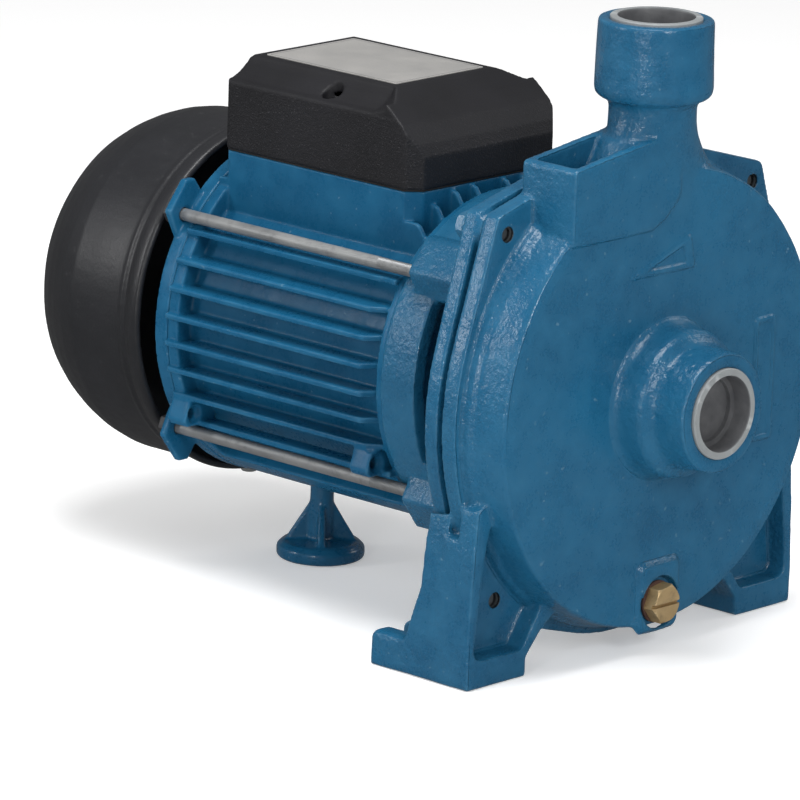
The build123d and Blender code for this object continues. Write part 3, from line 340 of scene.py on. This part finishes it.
def plastic(name, dark, light, rough=(0.42, 0.58), grain=900, depth=0.00008):
    mat = Shader(name)
    colour = mat.mix(mat.remap(mat.noise(scale=35, grade=CLOUDY)), dark, light)
    colour = mat.worn_edges(colour, shifted(light, 40, 40, 40))
    roughness = mat.remap(mat.noise(scale=300), to=rough)
    return mat.finish(colour, roughness, mat.moulded_normal(grain, depth), specular=0.4)


def metal(name, dark, light, rough, stain, depth=0.00004, metallic=1.0, brushed=False):
    """Machined or plated metal: tool marks, stains, brighter edges; brushed runs along Y."""
    mat = Shader(name)
    vector = mat.drawn_along_y(squeeze=0.02) if brushed else None
    mottle = mat.noise(scale=60, grade=CLOUDY, seed=2)
    marks = mat.noise(scale=1600, vector=vector)
    colour = mat.mix(mat.remap(mottle), dark, light)
    stains = mat.remap(mat.noise(scale=210, grade=BLOTCHY, seed=6), span=(0.52, 0.72))
    stain_tone = tuple(int(value * 0.45) for value in dark)
    colour = mat.cover(colour, stains, stain_tone, amount=stain)
    colour = mat.worn_edges(colour, shifted(light, 45, 45, 45), span=(0.52, 0.62), amount=0.6)
    roughness = mat.plus(mat.remap(mottle, to=rough), mat.remap(marks, to=(-0.05, 0.07)))
    normal = mat.bump(marks, distance=depth, strength=0.8)
    normal = mat.bump(mat.noise(scale=600, seed=9), distance=depth * 1.5, strength=0.5,
                      under=normal)
    return mat.finish(colour, roughness, normal, metallic=metallic)


def rubber(name):
    mat = Shader(name)
    mottle = mat.noise(scale=80, grade=CLOUDY)
    colour = mat.mix(mat.remap(mottle, span=(0.35, 0.65)), (24, 24, 24), (38, 37, 37))
    normal = mat.bump(mat.noise(scale=700, grade=CLOUDY), distance=0.00012, strength=0.8)
    return mat.finish(colour, mat.remap(mottle, to=(0.62, 0.8)), normal, specular=0.3)


def plate(name):
    """Blank printed plate: pale mottled film with a thin darker line inside its border."""
    line_from, line_to = 0.0013, 0.0018      # distance in from the plate's edge
    mat = Shader(name)
    x, y, _ = mat.axes("Object")
    mottle = mat.noise(scale=45, grade=STREAKY)
    fine = mat.noise(scale=1400)
    colour = mat.mix(mat.remap(mottle), (158, 157, 155), (173, 171, 168))
    colour = mat.mix(mat.remap(fine, span=(0.60, 0.70), to=(0, 0.5)), colour, (140, 140, 138))
    low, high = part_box("blank_rating_plate")
    inset_x = mat.minus((high.x - low.x) / 2, mat.distance_from(x, (low.x + high.x) / 2))
    inset_y = mat.minus((high.y - low.y) / 2, mat.distance_from(y, (low.y + high.y) / 2))
    inset = mat.math("MINIMUM", inset_x, inset_y)
    line = mat.times(mat.math("GREATER_THAN", inset, line_from),
                     mat.math("LESS_THAN", inset, line_to))
    colour = mat.cover(colour, line, (96, 98, 100), amount=0.7)
    normal = mat.bump(mat.noise(scale=120), distance=0.0003, strength=0.3)
    normal = mat.bump(fine, distance=0.00003, strength=0.6, under=normal)
    return mat.finish(colour, mat.remap(mottle, to=(0.34, 0.46)), normal, metallic=0.25)


def laminated(name):
    """Stacked steel sheets with brown rust patches."""
    mat = Shader(name)
    sheets = mat.bands_along_y(scale=320, distortion=0.4, detail=2)
    mottle = mat.noise(scale=60, grade=CLOUDY)
    colour = mat.mix(sheets, (96, 98, 102), (140, 142, 146))
    colour = mat.mix(mat.remap(mottle, span=(0.5, 0.75), to=(0, 0.5)), colour, (84, 62, 48))
    normal = mat.bump(sheets, distance=0.00012, strength=0.8)
    return mat.finish(colour, mat.remap(mottle, to=(0.4, 0.6)), normal, metallic=0.8)


def copper(name):
    """Varnished copper wire running along Y."""
    mat = Shader(name)
    wires = mat.noise(scale=900, vector=mat.drawn_along_y(squeeze=0.15))
    mottle = mat.noise(scale=50, grade=CLOUDY)
    colour = mat.mix(mat.remap(wires, span=(0.35, 0.65)), (120, 58, 26), (196, 112, 62))
    colour = mat.mix(mat.remap(mottle, span=(0.55, 0.75), to=(0, 0.5)), colour, (84, 40, 20))
    normal = mat.bump(wires, distance=0.0003, strength=0.9)
    return mat.finish(colour, mat.remap(wires, to=(0.28, 0.45)), normal, metallic=0.9,
                      coat=0.3, coat_roughness=0.2)


def plug_cup(name, upright):
    """Grey moulded plug with painted shade darkening its cup below the tone of its flange."""
    mat = Shader(name)
    x, y, z = mat.axes("Object")
    across = mat.plus(y, OUTLET_SHIFT) if upright else mat.minus(z, SHAFT_Z)
    radius = mat.length(x, across)
    mottle = mat.noise(scale=35, grade=CLOUDY)
    colour = mat.mix(mat.remap(mottle), (118, 122, 124), (142, 146, 147))
    colour = mat.worn_edges(colour, (190, 194, 195))
    # Painted shade: the cup inside the flange takes a darker, mottled grey
    cup = mat.remap(radius, span=PLUG_CUP_RADIUS, to=(1, 0), smooth=True)
    cup_shade_mottle = mat.remap(mat.noise(scale=90, grade=CLOUDY))
    colour = mat.mix(cup, colour, mat.mix(cup_shade_mottle, (70, 71, 74), (96, 97, 99)))
    normal = mat.moulded_normal(scale=800, depth=0.0001)
    roughness = mat.remap(mat.noise(scale=300), to=(0.42, 0.56))
    return mat.finish(colour, roughness, normal, specular=0.4)


MOTOR_BLUE = (22, 86, 121)
# Material slot: (recipe, its settings)
RECIPES = {
    "casing_paint": (paint, dict(sand_cast=1.0, seed=0.0, across=0.34)),
    "bracket_paint": (paint, dict(sand_cast=0.9, seed=21.0)),
    "frame_paint": (paint, dict(sand_cast=0.10, seed=42.0, base=MOTOR_BLUE, specular=0.12,
                                coat=0.05)),
    "shield_paint": (paint, dict(sand_cast=0.15, seed=63.0, base=MOTOR_BLUE, specular=0.14,
                                 coat=0.08)),
    "foot_paint": (paint, dict(sand_cast=0.3, seed=84.0, base=(26, 92, 128))),
    "cover_black": (black_satin, {}),
    "lid_plastic": (lid_plastic, {}),
    "fan_plastic": (plastic, dict(dark=(26, 26, 27), light=(36, 36, 38))),
    "gland_plastic": (plastic, dict(dark=(24, 24, 26), light=(36, 36, 38), rough=(0.38, 0.5))),
    "plug_plastic": (plastic, dict(dark=(134, 138, 139), light=(156, 160, 160),
                                   rough=(0.40, 0.55), grain=800, depth=0.0001)),
    "board_plastic": (plastic, dict(dark=(52, 48, 44), light=(74, 68, 60), rough=(0.4, 0.55))),
    "capacitor_plastic": (plastic, dict(dark=(196, 196, 190), light=(214, 213, 207),
                                        rough=(0.32, 0.45))),
    "rubber_black": (rubber, {}),
    "plate_metal": (plate, {}),
    "steel_bright": (metal, dict(dark=(128, 130, 132), light=(154, 155, 155), stain=0.40,
                                 rough=(0.44, 0.58), depth=0.00005, metallic=0.62,
                                 brushed=True)),
    "steel_zinc": (metal, dict(dark=(140, 142, 143), light=(168, 168, 166), stain=0.30,
                               rough=(0.40, 0.54), metallic=0.7)),
    "steel_spring": (metal, dict(dark=(112, 113, 116), light=(140, 140, 142), stain=0.25,
                                 rough=(0.25, 0.38))),
    "lamination": (laminated, {}),
    "winding": (copper, {}),
    "cage_aluminium": (metal, dict(dark=(172, 174, 176), light=(198, 198, 198), stain=0.2,
                                   rough=(0.34, 0.5), depth=0.00008)),
    "brass": (metal, dict(dark=(168, 140, 98), light=(198, 172, 126), stain=0.55,
                          rough=(0.40, 0.54), depth=0.00008, metallic=0.5)),
    "seal_carbon": (plastic, dict(dark=(32, 32, 34), light=(44, 44, 46), rough=(0.3, 0.45))),
    "seal_ceramic": (plastic, dict(dark=(226, 222, 212), light=(238, 235, 228),
                                   rough=(0.12, 0.2))),
    "washer_fibre": (plastic, dict(dark=(70, 48, 42), light=(92, 66, 58), rough=(0.6, 0.75))),
    "steel_dark": (metal, dict(dark=(44, 45, 47), light=(62, 63, 65), stain=0.3,
                               rough=(0.44, 0.6), depth=0.00005, metallic=0.6)),
    "bolt_paint": (paint, dict(sand_cast=0.3, seed=95.0)),
}
MATERIALS = {slot: recipe(slot, **settings) for slot, (recipe, settings) in RECIPES.items()}
NODE_MATERIALS = {"suction_port_plug": plug_cup("plug_plastic_suction", upright=False),
                  "outlet_port_plug": plug_cup("plug_plastic_outlet", upright=True)}


# ---------------------------------------------------------------- mesh tools
def set_material(item, material):
    item.data.materials.clear()
    item.data.materials.append(material)


def link_object(name, data):
    item = bpy.data.objects.new(name, data)
    SCENE.collection.objects.link(item)
    return item


def hash_noise(points, scale, seed):
    """Smooth lattice noise in -1..1; scale is in cells per metre."""
    scaled = points * scale
    cell = np.floor(scaled).astype(np.int64)
    part = scaled - cell
    ease = part * part * (3 - 2 * part)
    total = np.zeros(len(points))
    for i in (0, 1):
        for j in (0, 1):
            for k in (0, 1):
                bits = ((cell[:, 0] + i) * 374761393 + (cell[:, 1] + j) * 668265263
                        + (cell[:, 2] + k) * 1274126177 + seed * 974634777) & 0xFFFFFFFF
                bits = ((bits ^ (bits >> 13)) * 1103515245) & 0xFFFFFFFF
                value = ((bits ^ (bits >> 16)) & 0xFFFF) / 32767.5 - 1.0
                weight = ((ease[:, 0] if i else 1 - ease[:, 0])
                          * (ease[:, 1] if j else 1 - ease[:, 1])
                          * (ease[:, 2] if k else 1 - ease[:, 2]))
                total += value * weight
    return total


def evaluated(item, name):
    """The object's mesh with its modifiers applied."""
    bpy.context.view_layer.update()
    depsgraph = bpy.context.evaluated_depsgraph_get()
    mesh = bpy.data.meshes.new_from_object(item.evaluated_get(depsgraph), depsgraph=depsgraph)
    mesh.name = name
    return mesh


def read_array(items, key, count, kind):
    values = np.empty(count, kind)
    items.foreach_get(key, values)
    return values


def get_points(mesh):
    flat = read_array(mesh.vertices, "co", len(mesh.vertices) * 3, np.float32)
    return flat.reshape(-1, 3).astype(float)


def get_quads(mesh):
    """Vertex indices of each face; a triangle repeats its last corner."""
    count = len(mesh.polygons)
    sizes = read_array(mesh.polygons, "loop_total", count, np.int32)
    starts = read_array(mesh.polygons, "loop_start", count, np.int32)
    corners = read_array(mesh.loops, "vertex_index", len(mesh.loops), np.int32)
    return np.stack([corners[starts + np.minimum(i, sizes - 1)] for i in range(4)], 1)


def vertex_normals(points, quads):
    face_normals = np.cross(points[quads[:, 2]] - points[quads[:, 0]],
                            points[quads[:, 3]] - points[quads[:, 1]])
    normals = np.zeros_like(points)
    for i in range(4):
        for axis in range(3):
            normals[:, axis] += np.bincount(quads[:, i], face_normals[:, axis], len(points))
    return normals / np.maximum(np.linalg.norm(normals, axis=1, keepdims=True), 1e-12)


def relax(points, quads, rounds, convex, concave, weights):
    """Pull outside edges in by the share convex and inside corners out by concave."""
    count = len(points)
    edges = np.concatenate([quads[:, [i, (i + 1) % 4]] for i in range(4)])
    degree = np.maximum(np.bincount(edges[:, 0], minlength=count), 1)[:, None]
    normals = vertex_normals(points, quads)
    for i in range(rounds):
        average = np.stack([np.bincount(edges[:, 0], points[edges[:, 1], axis], count)
                            for axis in range(3)], 1) / degree
        pull = average - points
        share = np.where((pull * normals).sum(1) > 0, concave, convex)
        if weights is not None:
            share = share * weights
        points = points + pull * share[:, None]
        if i % 3 == 2:
            normals = vertex_normals(points, quads)
    return points


# ---------------------------------------------------------------- castings and mouldings
def casting(node, name, voxel, rounds, faces, seed, convex=0.45, concave=0.75,
            wavy=(0.00012, 0.00005), weight=None, wavy_scale=None):
    """Remesh a CAD solid evenly, soften its edges and corners, and make its skin uneven.

    wavy holds the heights of the slow and the quick unevenness.
    """
    source = link_object(name + "_tmp", NODES[node].data.copy())
    remesh = source.modifiers.new("remesh", "REMESH")
    remesh.mode = "VOXEL"
    remesh.voxel_size = voxel * 1.0
    remesh.adaptivity = 0.0
    mesh = evaluated(source, name)
    bpy.data.objects.remove(source)

    points, quads = get_points(mesh), get_quads(mesh)
    weights = weight(points) if weight else None
    rounds = rounds
    points = relax(points, quads, rounds, convex, concave, weights)
    normals = vertex_normals(points, quads)
    height = (wavy[0] * hash_noise(points, scale=75, seed=seed)
              + wavy[1] * hash_noise(points, scale=230, seed=seed + 7))
    if wavy_scale:
        height = height * wavy_scale(normals)
    points = points + normals * height[:, None]
    mesh.vertices.foreach_set("co", points.astype(np.float32).ravel())
    mesh.update()

    piece = link_object(name, mesh)
    triangles = 2 * len(quads)
    if triangles > faces:
        piece.modifiers.new("decimate", "DECIMATE").ratio = faces / triangles
        reduced = evaluated(piece, name)
        piece.modifiers.clear()
        piece.data = reduced
    piece.data.shade_smooth()
    set_material(piece, MATERIALS[SLOT[node]])
    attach(piece, NODES[node]["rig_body"])
    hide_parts(node)


def body_weights(points):
    """Keep the raised marks and the thin wall of the drain recess crisp."""
    x, z = points[:, 0], points[:, 2]
    y = points[:, 1] + OUTLET_SHIFT
    radius = np.hypot(x, z - SHAFT_Z)
    marks = ((np.abs(y - MARKS_Y) < MARKS_HALF_DEPTH)
             & (radius > MARKS_RADII[0]) & (radius < MARKS_RADII[1]))
    drain = (np.hypot(x, z - DRAIN_Z) < DRAIN_RADIUS) & (y < DRAIN_Y_MAX)
    return np.where(drain, 0.08, np.where(marks, 0.15, 1.0))


def body_wavy_scale(normals):
    """Flatter skin on faces towards -Y."""
    return np.where(normals[:, 1] < -0.9, 0.6, 1.1)


casting("pump_body", "casing_casting", voxel=0.00072, rounds=5, faces=194000, seed=3,
        weight=body_weights, wavy_scale=body_wavy_scale)
casting("motor_bracket", "bracket_casting", voxel=0.0008, rounds=5, faces=150000, seed=5)
casting("motor_frame", "frame_casting", voxel=0.0006, rounds=2, faces=194000, seed=7,
        wavy=(0.00005, 0.00002), convex=0.4, concave=0.6)
casting("rear_end_shield", "end_shield_casting", voxel=0.0007, rounds=3, faces=90000, seed=9,
        wavy=(0.00006, 0.00002))
casting("support_foot", "support_foot_casting", voxel=0.0006, rounds=5, faces=40000, seed=11)
casting("terminal_box_lid", "lid_moulding", voxel=0.0006, rounds=3, faces=120000, seed=13,
        wavy=(0.00003, 0.0), convex=0.5, concave=0.5)
casting("fan_cover", "fan_cover_shell", voxel=0.0007, rounds=3, faces=150000, seed=15,
        wavy=(0.00006, 0.0), convex=0.5, concave=0.5)

# The other pieces keep their solids, with slightly broken edges
for node_name, item in NODES.items():
    if item.hide_render:
        continue
    set_material(item, NODE_MATERIALS.get(node_name, MATERIALS[SLOT[node_name]]))
    weld = item.modifiers.new("weld", "WELD")
    weld.merge_threshold = 0.000002
    bevel = item.modifiers.new("edge", "BEVEL")
    bevel.width = 0.00018
    bevel.segments = 2
    bevel.limit_method = "ANGLE"
    bevel.angle_limit = math.radians(38)
    bevel.harden_normals = False
    bevel.use_clamp_overlap = True


# ---------------------------------------------------------------- floor and world
FLOOR_HALF = 9.0
FLOOR_Z = -0.0002


def build_floor():
    """Flat white floor that glows a little to the camera."""
    mat = Shader("floor_white")
    colour = mat.mix(mat.noise(scale=2.0), (0.88, 0.88, 0.88, 1), (0.90, 0.90, 0.90, 1))
    mat.finish(colour, roughness=0.75, specular=0.1)
    rays = mat.add("ShaderNodeLightPath").outputs
    glow = 0.30
    feed(mat.tree, mat.principled, "Emission Color", (1, 1, 1, 1))
    feed(mat.tree, mat.principled, "Emission Strength", mat.times(rays["Is Camera Ray"], glow))
    mesh = bpy.data.meshes.new("studio_floor")
    corners = [(x * FLOOR_HALF, y * FLOOR_HALF, FLOOR_Z)
               for x, y in ((-1, -1), (1, -1), (1, 1), (-1, 1))]
    mesh.from_pydata(corners, [], [(0, 1, 2, 3)])
    floor = link_object("studio_floor", mesh)
    set_material(floor, mat.material)
    mesh.shade_smooth()
    floor.visible_glossy = False      # glossy paint mirrors the dim studio, not the floor


def build_world():
    """White to the camera, even fill on matt surfaces, a dim room in the reflections."""
    fill, camera_extra, glossy_cut = 0.44, 0.56, 0.30
    world = bpy.data.worlds.new("studio")
    SCENE.world = world
    world.use_nodes = True
    tree = world.node_tree
    background = tree.nodes["Background"]
    background.inputs[0].default_value = (1.0, 1.0, 1.0, 1)
    rays = add_node(tree, "ShaderNodeLightPath").outputs
    extra = math_node(tree, "MULTIPLY", rays["Is Camera Ray"], camera_extra)
    strength = math_node(tree, "ADD", fill, extra)
    cut = math_node(tree, "MULTIPLY", rays["Is Glossy Ray"], glossy_cut)
    feed(tree, background, 1, math_node(tree, "SUBTRACT", strength, cut))


build_floor()
build_world()

# ---------------------------------------------------------------- lights
LIGHT_TARGET = Vector((0.0, 0.0, 0.12))
# Name, place, (width, height), power in watts
LIGHTS = (
    ("light_top", (-0.20, -0.10, 1.4), (0.7, 0.7), 15),
    ("light_left_back", (-1.15, 0.85, 0.72), (0.18, 0.8), 5.5),
    ("light_front", (-0.55, -1.55, 0.85), (0.35, 0.5), 10),
    ("light_edge", (-1.5, -0.62, 0.42), (0.05, 0.8), 5.0),
    ("light_right", (1.3, -0.6, 0.9), (0.5, 0.5), 2.5),
)
for name, place, (width, height), power in LIGHTS:
    light = bpy.data.lights.new(name, "AREA")
    light.shape = "RECTANGLE"
    light.size = width
    light.size_y = height
    light.energy = power
    lamp = link_object(name, light)
    lamp.location = place
    lamp.rotation_mode = "QUATERNION"
    lamp.rotation_quaternion = (LIGHT_TARGET - Vector(place)).to_track_quat("-Z", "Y")

# ---------------------------------------------------------------- camera
AZIMUTH = math.radians(-47.3567765473)      # from -Y, positive towards +X
ELEVATION = math.radians(14.5628026389)
ROLL = math.radians(1.8756583006)
# The outlet axis at floor level, as the camera sees it
AIM_RIGHT = 0.09011553929
AIM_UP = -0.09579375329
DISTANCE = 2.7
SENSOR_WIDTH = 36.0       # mm
FOCAL_LENGTH = 310.6930135125   # mm


def build_camera():
    back = Vector((math.sin(AZIMUTH) * math.cos(ELEVATION),
                   -math.cos(AZIMUTH) * math.cos(ELEVATION), math.sin(ELEVATION)))
    right = Vector((math.cos(AZIMUTH), math.sin(AZIMUTH), 0.0))
    up = back.cross(right)
    rolled_right = right * math.cos(ROLL) + up * math.sin(ROLL)
    rolled_up = up * math.cos(ROLL) - right * math.sin(ROLL)
    turn = Matrix((rolled_right, rolled_up, back)).transposed()
    placed = turn.to_4x4()
    placed.translation = (turn @ Vector((-AIM_RIGHT, -AIM_UP, DISTANCE))
                          - Vector((0, OUTLET_SHIFT, 0)))
    data = bpy.data.cameras.new("camera")
    camera = link_object("camera", data)
    camera.matrix_world = placed
    data.sensor_width = SENSOR_WIDTH
    data.lens = FOCAL_LENGTH
    data.clip_start = 0.1
    data.clip_end = 50.0
    SCENE.camera = camera


build_camera()
SCENE.view_settings.view_transform = "Standard"
SCENE.view_settings.look = "None"
